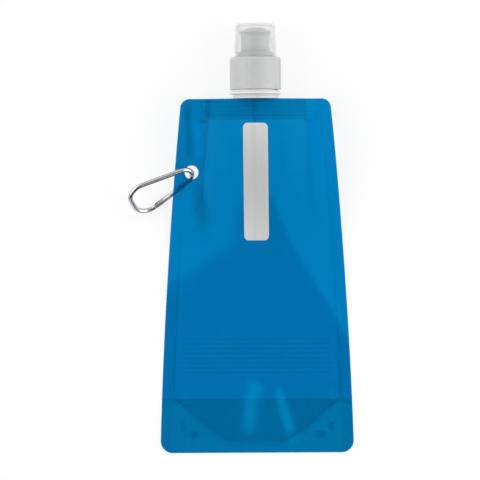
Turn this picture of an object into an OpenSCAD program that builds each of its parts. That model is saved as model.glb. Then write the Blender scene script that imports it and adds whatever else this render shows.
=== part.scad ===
// Folding water bottle: a film pouch with a welded spout, a screw cap with a pull nozzle and a clear
// cover, and a snap hook through a punched hole. It lies empty on its back, on the plane Z = 0.
// X is its width, Y runs from the middle of the bottom edge to the cap, Z points up from the table.

/* [Pouch] */
// Width at the bottom edge
bottom_w = 119.5; // [100:0.5:150]
// Width at the top edge
top_w = 91.5; // [80:0.5:120]
// Height of the film, without the spout
film_h = 218; // [190:1:260]
// How far each side bows out at half height
side_bow = 2; // [0:0.5:4]
// Corner radius at the bottom
bottom_r = 7.7; // [3:0.1:15]
// Corner radius at the top
top_r = 5.2; // [3:0.1:10]
// Thickness of one film
film_t = 0.3; // [0.2:0.05:0.5]
// Space between the panels of the empty pouch
inner_gap = 0.6; // [0.5:0.05:1]
// Width of the side seals
seal_w = 7; // [4:0.5:10]
// Height of the gusset folded in at the bottom
gusset_h = 33.3; // [20:0.1:40]

/* [Folds] */
// Height of the lower fold line
low_fold = 47; // [42:1:60]
// Height of the upper fold line
high_fold = 105; // [95:1:120]
// Bare strip of film at a fold line
fold_gap = 0.6; // [0.4:0.1:1]

/* [Hole] */
// Diameter of the punched hole
hole_d = 8.5; // [7:0.1:12]
// Distance of its centre from the side edge
hole_in = 10.4; // [8:0.1:16]
// Distance of its centre from the pouch's top edge
hole_drop = 45; // [30:0.5:60]
// Welded film left around the hole
hole_rim = 3.4; // [2:0.1:6]

/* [Strip] */
// Width of the silver strip
strip_w = 15.2; // [8:0.1:25]
// Length of the silver strip
strip_l = 72; // [40:0.5:80]
// Distance of its top from the pouch's top edge
strip_drop = 15; // [13.5:0.5:25]
// Corner radius of the strip
strip_r = 2.8; // [1:0.1:5]
// Thickness of the strip
strip_t = 0.2; // [0.1:0.05:0.4]

/* [Spout] */
// Length of the boat that is welded between the panels
boat_w = 63; // [50:0.5:70]
// Thickness of the boat at its middle
boat_t = 18; // [15:0.5:22]
// Height of the boat
boat_h = 12.5; // [8:0.5:18]
// Number of weld ribs on the boat
boat_ribs = 5; // [3:1:7]
// Wall of the boat at its middle
boat_wall = 2; // [1.5:0.1:4]
// Diameter of the flange under the cap
flange_d = 32; // [30:0.5:36]
// Thickness of the flange
flange_t = 1.5; // [1:0.1:3]
// Diameter of the collar under the flange
collar_d = 26.5; // [24:0.5:30]
// Height of that collar
collar_h = 2.7; // [1.5:0.1:5]
// Outside diameter of the neck between its threads
neck_d = 25.2; // [24:0.1:26]
// Bore of the neck
neck_bore = 21; // [16:0.5:22]
// Height of the neck above the flange
neck_h = 18; // [15:0.5:22]
// Height of the threads
thread_h = 1.1; // [0.8:0.05:1.3]
// Rise of the threads in one turn
thread_lead = 9; // [6:0.5:9]
// Number of thread starts
thread_starts = 3; // [2:1:3]

/* [Cap] */
// Wall of the cap's skirt
cap_wall = 1.65; // [1.2:0.05:2.5]
// Clearance between a thread's crest and the wall it faces
thread_gap = 0.4; // [0.3:0.05:0.5]
// Gap between the flange and the skirt
cap_gap = 1.4; // [0.8:0.1:3]
// Thickness of the cap's deck
deck_t = 2; // [1.5:0.1:3]
// Thickness of the sealing liner
liner_t = 1.2; // [0.8:0.1:2]
// Number of grip ribs
grip_ribs = 60; // [40:2:80]
// Depth of the grip ribs
grip_depth = 0.25; // [0.15:0.05:0.5]
// Wall of the ring that the clear cover sits on
seat_wall = 2.8; // [1.5:0.1:4]
// Height of that ring
seat_h = 3.1; // [2:0.1:5]
// Outside diameter of the tube that the nozzle slides on
tube_d = 13.6; // [11:0.1:17]
// Wall of that tube
tube_wall = 1.5; // [1:0.1:2]
// How far the bead on the tube stands out
bead = 0.5; // [0.3:0.05:0.8]
// Diameter of the valve pin
valve_d = 4.2; // [3:0.1:5]

/* [Nozzle and cover] */
// Wall of the nozzle's stem
stem_wall = 1.3; // [1:0.1:2]
// How far the lip stands out from the stem
lip_out = 1.4; // [0.8:0.1:2]
// Height of the nozzle above the deck
nozzle_h = 18; // [15:0.1:24]
// Thickness of the nozzle's top
nozzle_top = 4.4; // [3.5:0.1:5]
// Wall of the clear cover
cover_t = 1; // [0.8:0.05:1.5]
// Space between the cover and the nozzle's lip
cover_room = 1.05; // [0.6:0.05:2]
// Space between the cover's top and the nozzle
cover_head = 1.5; // [1:0.1:4]

/* [Snap hook] */
// Diameter of the hook's rod
rod_d = 3; // [2.6:0.1:3.4]
// Radius of the small end, on the rod's centre line
small_r = 6; // [5:0.1:8]
// Angle of each leg to the long axis
leg_angle = 12.5; // [9:0.5:14]
// Length on the centre line
hook_l = 41; // [39.5:0.5:48]
// Radius of the corners at the big end
big_r = 8.8; // [6:0.1:9.5]
// Angle of the hook's long axis in the film's plane
hook_turn = 208.2; // [195:0.1:225]
// Angle of the hook's plane to the film
hook_tilt = 38; // [36:1:46]
// Angle by which the big end lifts from the film's slope
hook_lift = 4; // [3:0.5:8]
// How much thicker than the rod the gate is
gate_more = 0.4; // [0.3:0.1:0.8]
// Diameter of the hinge pin
pin_d = 1.2; // [1:0.05:1.3]

/* [Hidden] */
$fn = 96;

film_blue = [0.10, 0.48, 0.72, 0.8];
white_plastic = [0.86, 0.86, 0.85];
clear_plastic = [0.90, 0.92, 0.93, 0.4];
bright_metal = [0.78, 0.79, 0.80];

// Sizes that follow from what fits into what
slide_gap = 0.2;
hinge_gap = 0.05;
seat_gap = 0.4;
cover_gap = 0.15;
boat_bore = boat_t - 2 * boat_wall;
cap_bore = neck_d + 2 * (thread_h + thread_gap);
cap_d = cap_bore + 2 * cap_wall;
tube_bore = tube_d - 2 * tube_wall;
tube_h = nozzle_h - nozzle_top - 2.1;
stem_d = tube_d + 2 * (bead + slide_gap + stem_wall);
lip_d = stem_d + 2 * lip_out;
seat_d = max(stem_d + 2 * (seat_gap + seat_wall), lip_d + 2 * cover_room);
cover_d = seat_d + 2 * (cover_gap + cover_t);
cover_top_d = lip_d + 2 * (cover_room + cover_t);
cover_h = nozzle_h + cover_head + cover_t;
gate_d = rod_d + gate_more;
hole_seal_w = hole_in + hole_d / 2 + hole_rim;

// Heights along Y
boat_y = film_h - boat_h;
flange_y = film_h + collar_h;
neck_y = flange_y + flange_t;
neck_top = neck_y + neck_h;
liner_y = neck_top + 0.1;
deck_y = liner_y + liner_t + 0.05;
cap_y = neck_y + cap_gap;
cap_top = deck_y + deck_t;

// The spout's axis is high enough for the flange and the cap to lie on the table
axis_z = max(flange_d, cap_d) / 2;
// Middle height of the flat pouch, and where its film starts and stops to rise to the spout
flat_z = film_t + inner_gap / 2;
rise_y = high_fold + 5;
swell_y = high_fold + 35;
// Small spaces between film and boat, and between strip and film
weld_gap = 0.15;
glue_gap = 0.1;
// How deep a thread ridge reaches into its wall
sunk = 0.25;

// Height above the flange where the threads start, and the angle that each of them covers
thread_y = cap_gap + 3;
thread_turn = 300;
thread_step = 10;
thread_root = thread_lead / thread_starts * 0.56;
thread_crest = thread_lead / thread_starts * 0.33;

// A smooth step from 0 to 1
function ease(t) = let (c = min(1, max(0, t))) c * c * (3 - 2 * c);

// Half the pouch's width, first with square and then with rounded top corners
function half_w(y) = let (t = y / film_h)
    bottom_w / 2 + (top_w - bottom_w) / 2 * t + 4 * side_bow * t * (1 - t);
function edge_w(y) = let (over = y - film_h + top_r)
    over <= 0 ? half_w(y) : half_w(y) - top_r + sqrt(max(0, top_r * top_r - over * over));

// The boat's outline is two arcs: their radius, and half the thickness at x
boat_arc = (boat_w * boat_w / 4 + boat_t * boat_t / 4) / boat_t;
function boat_half(x) = abs(x) >= boat_w / 2 ? 0 : sqrt(boat_arc * boat_arc - x * x) - boat_arc + boat_t / 2;

// Middle height of the pouch, how far the boat spreads each panel, and the panels' surfaces
function mid_z(y) = flat_z + (axis_z - flat_z) * ease((y - rise_y) / (boat_y - rise_y));
function spread(x, y) =
    max(0, boat_half(x) + weld_gap - inner_gap / 2) * ease((y - swell_y) / (boat_y - swell_y));
function front_in(x, y) = mid_z(y) + inner_gap / 2 + spread(x, y);
function back_in(x, y) = mid_z(y) - inner_gap / 2 - spread(x, y);
function front_out(x, y) = front_in(x, y) + film_t;
function back_out(x, y) = back_in(x, y) - film_t;

// The welded zone, clear of the boat: side seals, a wide one at the hole, and the top edge
function seal_at(x, y) = x > 0 ? seal_w
    : seal_w + (hole_seal_w - seal_w) * ease((y - hole_y + 35) / 20);
function welded(x, y) =
    abs(x) > boat_w / 2 + 3 && (edge_w(y) - abs(x) < seal_at(x, y) || y > boat_y);

// Rows and columns of the upper panels; the last rows follow the rounded corners
upper_rows = concat(
    [for (i = [0:21]) high_fold + fold_gap / 2 + (film_h - top_r - high_fold - fold_gap / 2) * i / 22],
    [for (a = [0:22.5:90]) film_h - top_r + top_r * sin(a)]);
upper_columns = [for (i = [-16:16]) i / 16];

// The hole lies on the film's middle surface; the hook's frame follows the film's slope there
hole_y = film_h - hole_drop;
hole_x = hole_in - half_w(hole_y);
film_slope = atan((mid_z(hole_y + 0.5) - mid_z(hole_y - 0.5)));

// The gate's leg: its first point, and the places along it of hinge, nose and latch
leg_start = [small_r - small_r * sin(leg_angle), small_r * cos(leg_angle)];
corner_u = hook_l - big_r;
corner_v = leg_start[1] + ((corner_u - leg_start[0]) * sin(leg_angle) - big_r) / cos(leg_angle);
leg_l = (corner_u - big_r * sin(leg_angle) - leg_start[0]) / cos(leg_angle);
hinge_s = 5;
nose_s = leg_l - 0.5;
latch_s = nose_s - 1.5;
tang_t = 1.2;
tongue_t = 1;
latch_d = 1.2;
slot_s = latch_s - 2.4;
plunger_s = hinge_s + rod_d / 2 + 0.2;
plunger_l = 2.6;
spring_l = 6.3;
spring_d = 1.4;
wire_d = 0.26;
spring_turns = 7;
bore_d = spring_d + 0.2;

// A thin solid between two surfaces over rows of points, each row as wide as half(y)
module surface_solid(rows, columns, half, low, high) {
    n = len(columns);
    count = n * len(rows);
    spots = [for (y = rows) for (u = columns) [u * half(y), y]];
    points = concat(
        [for (p = spots) [p[0], p[1], low(p[0], p[1])]],
        [for (p = spots) [p[0], p[1], high(p[0], p[1])]]);
    last = len(rows) - 1;
    cells = [for (j = [0:last - 1]) for (i = [0:n - 2]) j * n + i];
    quads = concat(
        [for (k = cells) [k + count, k + n + count, k + n + 1 + count, k + 1 + count]],
        [for (k = cells) [k, k + 1, k + n + 1, k + n]],
        [for (j = [0:last - 1]) let (k = j * n) [k, k + n, k + n + count, k + count]],
        [for (j = [0:last - 1]) let (k = j * n + n - 1) [k + n, k, k + count, k + n + count]],
        [for (i = [0:n - 2]) [i + 1, i, i + count, i + 1 + count]],
        [for (i = [0:n - 2]) let (k = last * n + i) [k, k + 1, k + 1 + count, k + count]]);
    polyhedron(points, [for (q = quads) each [[q[0], q[1], q[2]], [q[0], q[2], q[3]]]]);
}

// A flat section of the pouch's outline between two heights, with rounded corners at the bottom edge
module flat_outline(from, to) {
    slope = (half_w(to) - half_w(0)) / to;
    corner_x = half_w(0) + bottom_r * (slope - sqrt(1 + slope * slope));
    steps = 10;
    corner = from > 0 ? [[half_w(from), from]] : [for (i = [0:steps])
        let (a = -90 + (90 - atan(slope)) * i / steps)
        [corner_x + bottom_r * cos(a), bottom_r + bottom_r * sin(a)]];
    side = concat(corner, [[half_w(to), to]]);
    polygon(concat(side, [for (i = [len(side) - 1:-1:0]) [-side[i][0], side[i][1]]]));
}

// A flat panel section lying at height z
module flat_panel(from, to, z) {
    translate([0, 0, z]) linear_extrude(film_t) flat_outline(from, to);
}

// The welded side seals of a flat section, which fill the space between the panels
module flat_seals(from, to) {
    for (side = [0, 1]) {
        mirror([side, 0, 0]) translate([0, 0, film_t]) linear_extrude(inner_gap) polygon([
            [half_w(from) - seal_w, from], [half_w(from), from],
            [half_w(to), to], [half_w(to) - seal_w, to]]);
    }
}

// The punched hole through both panels
module hole_cut() {
    translate([hole_x, hole_y, mid_z(hole_y)]) rotate([film_slope, 0, 0])
        cylinder(h = 6, d = hole_d, center = true);
}

// Panels
module back_panel_lower() {
    color(film_blue) {
        flat_panel(0, low_fold - fold_gap / 2, 0);
        flat_seals(gusset_h + film_t, low_fold - fold_gap / 2);
    }
}

module back_panel_middle() {
    color(film_blue) {
        flat_panel(low_fold + fold_gap / 2, high_fold - fold_gap / 2, 0);
        flat_seals(low_fold + fold_gap / 2, high_fold - fold_gap / 2);
    }
}

module back_panel_upper() {
    color(film_blue) difference() {
        surface_solid(
            upper_rows, upper_columns, function(y) edge_w(y), function(x, y) back_out(x, y),
            function(x, y) welded(x, y) ? front_in(x, y) : back_in(x, y));
        hole_cut();
    }
}

module front_panel_lower() {
    color(film_blue) flat_panel(0, low_fold - fold_gap / 2, film_t + inner_gap);
}

module front_panel_middle() {
    color(film_blue)
        flat_panel(low_fold + fold_gap / 2, high_fold - fold_gap / 2, film_t + inner_gap);
}

module front_panel_upper() {
    color(film_blue) difference() {
        surface_solid(
            upper_rows, upper_columns, function(y) edge_w(y),
            function(x, y) front_in(x, y), function(x, y) front_out(x, y));
        hole_cut();
    }
}

// The gusset is one film folded in between the panels, so it is two leaves that meet at its fold
module bottom_gusset() {
    leaf_t = (inner_gap - 0.1) / 2;
    color(film_blue) difference() {
        translate([0, 0, film_t]) linear_extrude(inner_gap) flat_outline(0, gusset_h);
        translate([-bottom_w, -1, film_t + leaf_t])
            cube([2 * bottom_w, gusset_h + 1 - leaf_t, inner_gap - 2 * leaf_t]);
    }
}

// The strip lies on the front panel and follows its shape
module silver_strip() {
    top = film_h - strip_drop;
    bottom = top - strip_l;
    rounding = [for (a = [0:22.5:90]) strip_r * (1 - cos(a))];
    rows = concat(
        [for (d = rounding) bottom + d],
        [for (i = [1:17]) bottom + strip_r + (strip_l - 2 * strip_r) * i / 18],
        [for (i = [4:-1:0]) top - rounding[i]]);
    color([0.74, 0.75, 0.76]) surface_solid(
        rows, [for (i = [-3:3]) i / 3],
        function(y) let (d = max(0, strip_r - min(y - bottom, top - y)))
            strip_w / 2 - strip_r + sqrt(max(0, strip_r * strip_r - d * d)),
        function(x, y) front_out(x, y) + glue_gap,
        function(x, y) front_out(x, y) + glue_gap + strip_t);
}

// Places what is drawn upright onto the spout's axis, which runs along +Y
module on_axis(y) {
    translate([0, y, axis_z]) rotate([-90, 0, 0]) children();
}

// The boat's outline, drawn in by d on each side
module boat_outline(d) {
    intersection_for (side = [-1, 1]) {
        translate([0, side * (boat_arc - boat_t / 2)]) circle(boat_arc - d);
    }
}

// One thread ridge: its foot at r is sunk into the wall, its crest stands out (or in) by h
module thread_ridge(r, h, start) {
    steps = thread_turn / thread_step;
    foot = h > 0 ? r - sunk : r + sunk;
    rings = [for (k = [0:steps]) let (
        a = k * thread_step,
        crest = r + h * ease(min(k, steps - k) / 3) * 0.99,
        z = a / 360 * thread_lead)
        [for (p = [
            [foot, z - thread_root / 2], [crest, z - thread_crest / 2],
            [crest, z + thread_crest / 2], [foot, z + thread_root / 2]])
            [p[0] * cos(a + start), p[0] * sin(a + start), p[1]]]];
    turn = h > 0 ? [0, 1, 2, 3] : [3, 2, 1, 0];
    sides = [for (k = [0:steps - 1]) for (i = [0:3]) let (
        p = 4 * k + turn[i], q = 4 * k + turn[(i + 1) % 4])
        each [[p, q, q + 4], [p, q + 4, p + 4]]];
    end = 4 * steps;
    caps = [[for (i = [3:-1:0]) turn[i]], [for (i = turn) end + i]];
    polyhedron([for (ring = rings) each ring], concat(sides, caps));
}

// The spout: ribbed boat, collar, flange and threaded neck with one bore right through
module spout() {
    rib = boat_h / (2 * boat_ribs - 1);
    color(white_plastic) {
        difference() {
            union() {
                on_axis(boat_y) linear_extrude(boat_h) boat_outline(0.4);
                for (i = [0:boat_ribs - 1]) {
                    on_axis(boat_y + 2 * i * rib) linear_extrude(rib) boat_outline(0);
                }
                on_axis(film_h) cylinder(h = collar_h, d = collar_d);
                on_axis(flange_y) cylinder(h = flange_t, d = flange_d);
                on_axis(neck_y) cylinder(h = neck_h, d = neck_d);
                on_axis(neck_y + thread_y) {
                    for (i = [0:thread_starts - 1]) {
                        thread_ridge(neck_d / 2, thread_h, i * 360 / thread_starts);
                    }
                }
            }
            on_axis(boat_y - 1) cylinder(h = boat_h + 2, d = boat_bore);
            on_axis(film_h + 1) cylinder(h = neck_top, d = neck_bore);
        }
    }
}

// The liner is a soft ring that the cap presses on the neck's rim
module cap_liner() {
    color([0.93, 0.93, 0.91]) on_axis(liner_y) difference() {
        cylinder(h = liner_t, d = cap_bore - 0.6);
        translate([0, 0, -1]) cylinder(h = liner_t + 2, d = neck_bore - 5);
    }
}

// The cap: ribbed skirt with an inside thread, deck, cover seat, and a tube with a valve pin on webs
module screw_cap() {
    skirt_h = cap_top - cap_y;
    band = 2.2;
    bead_z = skirt_h + tube_h - 2.5;
    valve_z = skirt_h + nozzle_h - 3.2;
    pitch = 360 / grip_ribs;
    rib_r = cap_d / 2 - 0.1;
    ribs = [for (i = [0:grip_ribs - 1]) for (p = [
        [0, rib_r], [0.4, rib_r], [0.55, rib_r - grip_depth], [0.85, rib_r - grip_depth]])
        [p[1] * cos((i + p[0]) * pitch), p[1] * sin((i + p[0]) * pitch)]];
    color(white_plastic) on_axis(cap_y) {
        difference() {
            union() {
                linear_extrude(skirt_h - band) polygon(ribs);
                rotate_extrude() polygon([
                    [0, skirt_h - band], [cap_d / 2, skirt_h - band], [cap_d / 2, skirt_h - 1.6],
                    [cap_d / 2 - 0.5, skirt_h - 0.5], [cap_d / 2 - 1.7, skirt_h], [0, skirt_h]]);
                cylinder(h = skirt_h + seat_h, d = seat_d);
            }
            translate([0, 0, -1]) cylinder(h = skirt_h - deck_t + 1, d = cap_bore);
            translate([0, 0, skirt_h]) cylinder(h = seat_h + 1, d = stem_d + 2 * seat_gap);
            cylinder(h = skirt_h + seat_h, d = tube_bore);
        }
        difference() {
            union() {
                translate([0, 0, skirt_h - deck_t / 2]) cylinder(h = tube_h + deck_t / 2, d = tube_d);
                translate([0, 0, bead_z]) rotate_extrude() polygon([
                    [0, 0], [tube_d / 2, 0], [tube_d / 2 + bead, 0.5], [tube_d / 2 + bead, 1],
                    [tube_d / 2, 1.5], [0, 1.5]]);
            }
            cylinder(h = skirt_h + tube_h + 1, d = tube_bore);
        }
        translate([0, 0, skirt_h + 2]) cylinder(h = valve_z - skirt_h - 2, d = valve_d);
        for (a = [30, 150, 270]) {
            rotate(a) translate([0, -0.6, skirt_h + tube_h - 5]) cube([tube_bore / 2 + 0.3, 1.2, 4]);
        }
        translate([0, 0, neck_y + thread_y - cap_y + thread_lead / thread_starts / 2]) {
            for (i = [0:thread_starts - 1]) {
                thread_ridge(cap_bore / 2, -thread_h, i * 360 / thread_starts);
            }
        }
    }
}

// The pull nozzle slides on the cap's tube; its top hole closes on the valve pin when it is pushed in
module pull_nozzle() {
    bore_r = tube_d / 2 + bead + slide_gap;
    grip_r = tube_d / 2 + slide_gap;
    hole_r = valve_d / 2 + slide_gap;
    ceiling = nozzle_h - nozzle_top;
    foot = 0.4;
    lip_z = nozzle_h - 2.4;
    color(white_plastic) on_axis(cap_top) rotate_extrude() polygon([
        [grip_r, foot], [stem_d / 2, foot], [stem_d / 2, lip_z - 4],
        [stem_d / 2 + 0.2, lip_z - 2.4], [lip_d / 2 - 0.4, lip_z - 1.2], [lip_d / 2, lip_z - 0.5],
        [lip_d / 2, lip_z], [lip_d / 2 - 0.6, lip_z + 0.8], [lip_d / 2 - 2, lip_z + 1.5],
        [lip_d / 2 - 4.5, nozzle_h - 0.2], [hole_r + 0.7, nozzle_h], [hole_r, nozzle_h - 0.5],
        [hole_r, ceiling], [bore_r - 1, ceiling], [bore_r, ceiling - 1], [bore_r, foot + 1.8],
        [grip_r, foot + 1.2]]);
}

// The clear cover is a thin tapered cup over the nozzle, open at the deck
module dust_cover() {
    inner_r = seat_d / 2 + cover_gap;
    top_in = cover_top_d / 2 - cover_t;
    color(clear_plastic) on_axis(cap_top + 0.1) rotate_extrude() polygon([
        [inner_r, 0], [cover_d / 2, 0], [cover_d / 2, 1.2],
        [cover_top_d / 2, cover_h - 1.5], [cover_top_d / 2 - 0.4, cover_h - 0.5],
        [cover_top_d / 2 - 1.4, cover_h], [0, cover_h], [0, cover_h - cover_t],
        [top_in - 0.8, cover_h - cover_t], [top_in, cover_h - cover_t - 0.8],
        [inner_r, seat_h + 0.4]]);
}

// Places what is drawn flat in the hook's own plane: u runs to the big end, the gate is on the +v side
module in_hook() {
    translate([hole_x, hole_y, mid_z(hole_y)]) rotate([film_slope, 0, 0])
        rotate([-hook_tilt, -hook_lift, hook_turn]) children();
}

// Places what is drawn along X onto the gate's leg, with its own outside to +Y
module on_leg() {
    in_hook() translate([leg_start[0], leg_start[1], 0]) rotate([0, 0, leg_angle]) children();
}

// A round rod along X
module rod(from, to, d) {
    translate([from, 0, 0]) rotate([0, 90, 0]) cylinder(h = to - from, d = d);
}

// A bend of the hook's rod around a point, over an angle from a first direction. It is a hair thicker
// than the straight rods, which reach into it
module bend(u, v, r, first, angle) {
    translate([u, v, 0]) rotate([0, 0, first]) rotate_extrude(angle = angle) translate([r, 0])
        circle(d = rod_d + 0.04);
}

// The hook's body: nose with a notched tongue, big end, spine, small end and a flat tang for the hinge
module hook_body() {
    reach = 0.2;
    notch = latch_d / 2 + 0.25;
    color(bright_metal) {
        in_hook() {
            bend(corner_u, corner_v, big_r, 0, 90 + leg_angle);
            bend(corner_u, -corner_v, big_r, -90 - leg_angle, 90 + leg_angle);
            translate([hook_l, -corner_v, 0]) rotate([0, 0, 90])
                rod(-reach, 2 * corner_v + reach, rod_d);
            translate([leg_start[0], -leg_start[1], 0]) rotate([0, 0, -leg_angle])
                rod(-reach, leg_l + reach, rod_d);
            bend(small_r, 0, small_r, 90 + leg_angle, 180 - 2 * leg_angle);
        }
        on_leg() {
            rod(nose_s, leg_l + reach, rod_d);
            rod(-reach, 2.2, rod_d);
            difference() {
                union() {
                    translate([1.2, -rod_d / 2 + 0.1, -tang_t / 2])
                        cube([hinge_s - 1.2, rod_d - 0.2, tang_t]);
                    translate([hinge_s, 0, 0]) cylinder(h = tang_t, d = rod_d - 0.2, center = true);
                }
                translate([hinge_s, 0, 0]) cylinder(h = 4, d = pin_d + 0.02, center = true);
            }
            difference() {
                translate([slot_s + 0.4, -1.2, -tongue_t / 2])
                    cube([nose_s - slot_s + 0.6, 2.6, tongue_t]);
                translate([latch_s - notch, -2, -1]) cube([2 * notch, 2 + notch, 2]);
            }
        }
    }
}

// The gate: a round bar with a fork for the hinge, a slot for the tongue and a bore for its spring
module hook_gate() {
    fork = tang_t / 2 + slide_gap;
    slot = tongue_t / 2 + slide_gap;
    color(bright_metal) on_leg() difference() {
        rod(hinge_s - 1.7, nose_s - 0.3, gate_d);
        translate([0, -gate_d, -fork]) cube([plunger_s + 0.2, 2 * gate_d, 2 * fork]);
        translate([slot_s, -gate_d, -slot]) cube([leg_l, 2 * gate_d, 2 * slot]);
        rod(plunger_s, plunger_s + plunger_l + spring_l + 0.4, bore_d);
        translate([hinge_s, 0, 0]) cylinder(h = 6, d = pin_d + 2 * hinge_gap, center = true);
        translate([latch_s, 0, 0]) cylinder(h = 6, d = latch_d + 0.02, center = true);
    }
}

// The hinge pin stands in the tang and carries the gate's fork
module gate_pin() {
    color([0.70, 0.71, 0.72]) on_leg() translate([hinge_s, 0, 0])
        cylinder(h = gate_d - 0.2, d = pin_d, center = true);
}

// The latch pin crosses the gate's slot and drops into the tongue's notch
module latch_pin() {
    color([0.70, 0.71, 0.72]) on_leg() translate([latch_s, 0, 0])
        cylinder(h = gate_d - 0.3, d = latch_d, center = true);
}

// The plunger bears on the tang
module gate_plunger() {
    color([0.70, 0.71, 0.72]) on_leg() rod(plunger_s, plunger_s + plunger_l, bore_d - 0.1);
}

// The spring behind the plunger is a coil of round wire
module gate_spring() {
    sides = 6;
    steps = 12 * spring_turns;
    coil_r = (spring_d - wire_d) / 2;
    rise = (spring_l - wire_d) / steps;
    rings = [for (k = [0:steps]) for (i = [0:sides - 1]) let (
        a = 30 * k, b = 360 / sides * i, r = coil_r + wire_d / 2 * cos(b))
        [k * rise + wire_d / 2 * (1 + sin(b)), r * cos(a), r * sin(a)]];
    walls = [for (k = [0:steps - 1]) for (i = [0:sides - 1]) let (
        p = sides * k + i, q = sides * k + (i + 1) % sides)
        each [[p, q, q + sides], [p, q + sides, p + sides]]];
    end = sides * steps;
    caps = [[for (i = [sides - 1:-1:0]) i], [for (i = [0:sides - 1]) end + i]];
    color([0.60, 0.61, 0.62]) on_leg() translate([plunger_s + plunger_l + 0.1, 0, 0])
        polyhedron(rings, concat(walls, caps));
}

back_panel_lower();
back_panel_middle();
back_panel_upper();
front_panel_lower();
front_panel_middle();
front_panel_upper();
bottom_gusset();
silver_strip();
spout();
cap_liner();
screw_cap();
pull_nozzle();
dust_cover();
hook_body();
hook_gate();
gate_pin();
latch_pin();
gate_plunger();
gate_spring();
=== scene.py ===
"""Looks of the folding water bottle, piece by piece in the order in which it is put together.

Shapes are drawn in millimetres and become metres when a piece is finished. The bottle lies on the table
with its front up, +Y runs from the bottom edge to the cap, and the spout's axis is 16 mm above the table.
"""

import math

import bmesh
import bpy
from mathutils import Matrix, Vector, noise


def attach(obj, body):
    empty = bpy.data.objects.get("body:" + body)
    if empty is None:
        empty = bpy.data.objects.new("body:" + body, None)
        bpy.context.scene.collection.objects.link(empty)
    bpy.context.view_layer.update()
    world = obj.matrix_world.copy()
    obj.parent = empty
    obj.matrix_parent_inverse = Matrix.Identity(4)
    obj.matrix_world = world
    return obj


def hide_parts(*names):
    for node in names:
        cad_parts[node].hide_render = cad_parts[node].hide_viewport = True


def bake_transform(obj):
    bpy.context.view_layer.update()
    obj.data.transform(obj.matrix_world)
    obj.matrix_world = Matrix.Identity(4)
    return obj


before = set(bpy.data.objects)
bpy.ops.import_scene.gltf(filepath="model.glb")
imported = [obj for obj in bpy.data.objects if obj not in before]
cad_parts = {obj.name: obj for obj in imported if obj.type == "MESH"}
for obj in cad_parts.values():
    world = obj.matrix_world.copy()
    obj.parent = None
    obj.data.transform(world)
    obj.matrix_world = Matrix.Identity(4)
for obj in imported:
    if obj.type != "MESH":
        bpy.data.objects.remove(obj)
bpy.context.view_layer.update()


# Back panel. One sheet of clear blue film, 0.2 mm thick, cut to a tapering outline with rounded corners. It
# lies on the table and rises at the top, where it is welded round the spout. It is drawn in two lengths that
# meet between the two folds.
FILM_TOP, FILM_T = 218.0, 0.2
BOTTOM_HALF, TAPER, BULGE = 59.75, 14, 8
BOTTOM_ROUND, TOP_ROUND = 7.7, 5.2
LOW_FOLD, HIGH_FOLD, MEETING = 47.0, 105.0, 76.0
LOW_REACH, HIGH_REACH = 2.7, 4.4
BOAT_Y, BOAT_HALF_W, BOAT_ARC, BOAT_HALF_T = 205.5, 31.5, 59.625, 9.0
RIB_PITCH, FIRST_VALLEY = 2.78, 2.08
FLAT_H, AXIS_H, RISE_Y, SPREAD_Y = 0.6, 16, 110, 140
SEAL, HOLE_SEAL, SEAL_WIDENS, SEAL_WIDE = 7.0, 18.0, 138, 158
HOLE, HOLE_R = Vector((-39.55, 173.0)), 4.25


def ease(t):
    """A smooth step from 0 to 1."""
    t = min(1.0, max(0.0, t))
    return t * t * (3 - 2 * t)


def between(t, a, b):
    """The value at share t of the way from a to b."""
    return a + (b - a) * t


def plain_edge(y):
    """Half the width of the film at y, before its corners are rounded."""
    t = y / FILM_TOP
    return BOTTOM_HALF - TAPER * t + BULGE * t * (1 - t)


def side_edge(y):
    """Half the width of the film at y, with its rounded corners."""
    half = plain_edge(y)
    for over, size in ((BOTTOM_ROUND - y, BOTTOM_ROUND), (y - FILM_TOP + TOP_ROUND, TOP_ROUND)):
        if over > 0:
            half += math.sqrt(max(0.0, size * size - over * over)) - size
    return half


def rise(y):
    """How far the film has risen from the table, 0, to the spout, 1."""
    return ease((y - RISE_Y) / (BOAT_Y - RISE_Y))


def middle(y):
    """Height of the pouch's middle."""
    return between(rise(y), FLAT_H, AXIS_H)


def boat_half(x):
    """Half the thickness of the spout's boat at x."""
    return math.sqrt(BOAT_ARC * BOAT_ARC - x * x) - BOAT_ARC + BOAT_HALF_T


def spread(x, y):
    """How far the spout's boat holds a panel off the middle."""
    if abs(x) >= BOAT_HALF_W:
        return 0.0
    return (boat_half(x) + 0.04) * ease((y - SPREAD_Y) / (BOAT_Y - SPREAD_Y))


def rib_mark(x, y):
    """How far the film sinks between the ribs of the boat."""
    if y < BOAT_Y or abs(x) > BOAT_HALF_W:
        return 0.0
    fade = ease((BOAT_HALF_W - abs(x)) / 6)
    return fade * 0.1 * (0.5 + 0.5 * math.cos(2 * math.pi * (y - BOAT_Y - FIRST_VALLEY) / RIB_PITCH))


def seal_width(x, y):
    """Width of the side seal, which is wider round the hole on the left."""
    widening = ease((y - SEAL_WIDENS) / (SEAL_WIDE - SEAL_WIDENS))
    return SEAL if x > 0 else between(widening, SEAL, HOLE_SEAL)


def slack(x, y):
    """0 in the side seals and the welded top, and 1 where a panel lies loose between them."""
    return ease((side_edge(y) - abs(x) - seal_width(x, y)) / 9) * (1 - ease((y - 202) / 4))


def back_height(x, y):
    """Upper side of the back panel, which sags a little where it has left the table."""
    sag = 0.28 + 0.3 * noise.noise(Vector((x / 21, y / 33, 11.3)))
    sag *= slack(x, y) * ease((y - 114) / 22)
    return middle(y) - between(rise(y), 0.38, 0.01) - spread(x, y) + rib_mark(x, y) - sag


def spaced(start, end, step):
    """Equal steps from start up to, but not including, end."""
    count = round((end - start) / step)
    return [start + (end - start) * i / count for i in range(count)]


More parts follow.
